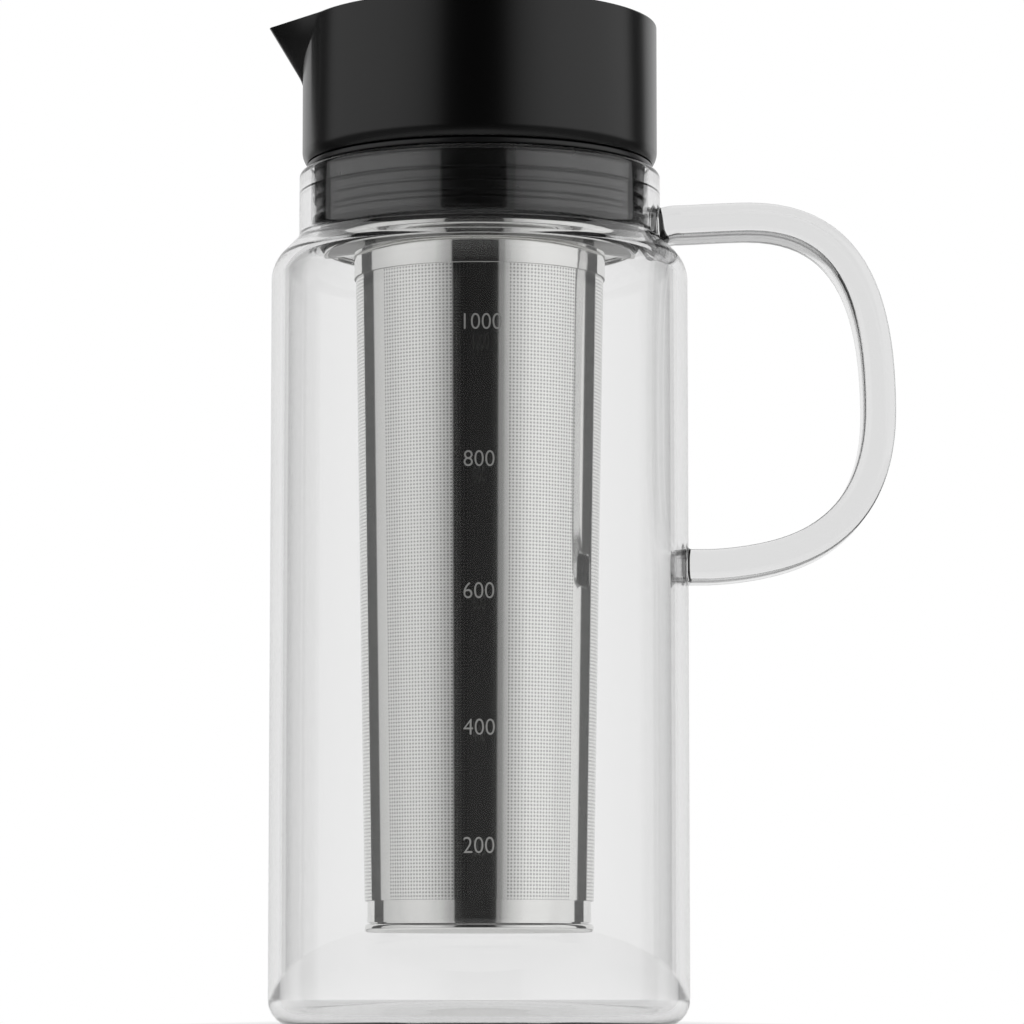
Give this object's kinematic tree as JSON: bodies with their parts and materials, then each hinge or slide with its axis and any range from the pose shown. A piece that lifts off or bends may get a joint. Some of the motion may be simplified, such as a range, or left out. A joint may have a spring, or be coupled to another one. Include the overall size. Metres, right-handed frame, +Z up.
{
  "type": "cold brew coffee maker",
  "caption": "Glass cold brew carafe with a fused glass handle, a steel mesh filter hung in its neck on a sealed collar, and a round black lid that turns to open its spout.",
  "frame": {"origin": "centre of the carafe's flat base, on the axis of the carafe", "axes": "+Z up along the axis of the carafe, +X towards the handle, -X towards the spout"},
  "size_m": [0.1428, 0.095, 0.2285],
  "materials": {
    "carafe_glass": "clear blown borosilicate glass",
    "handle_glass": "clear drawn borosilicate glass, fused on",
    "collar_plastic": "dark grey moulded polypropylene",
    "silicone": "black moulded silicone",
    "steel": "bright pressed stainless steel",
    "mesh_steel": "finely perforated stainless steel sheet",
    "plug_plastic": "black moulded polypropylene",
    "lid_plastic": "satin black moulded plastic"
  },
  "bodies": {
    "carafe": {"carafe_body": "carafe_glass", "carafe_handle": "handle_glass"},
    "filter": {"filter_collar": "collar_plastic", "neck_gasket": "silicone", "filter_flange": "steel", "filter_mesh": "mesh_steel", "filter_bottom_band": "steel", "filter_base": "steel"},
    "lid_plug": {"lid_plug": "plug_plastic", "plug_seal": "silicone", "cover_seal": "silicone"},
    "lid_cover": {"lid_cover": "lid_plastic"}
  },
  "joints": [
    {"name": "filter_lift", "type": "slide", "parent": "carafe", "child": "filter", "axis": [0, 0, 1], "range_m": [0, 0.18]},
    {"name": "lid_lift", "type": "slide", "parent": "filter", "child": "lid_plug", "axis": [0, 0, 1], "range_m": [0, 0.03]},
    {"name": "lid_turn", "type": "hinge", "parent": "lid_plug", "child": "lid_cover", "pos_m": [0, 0, 0.21], "axis": [0, 0, 1], "continuous": true}
  ]
}
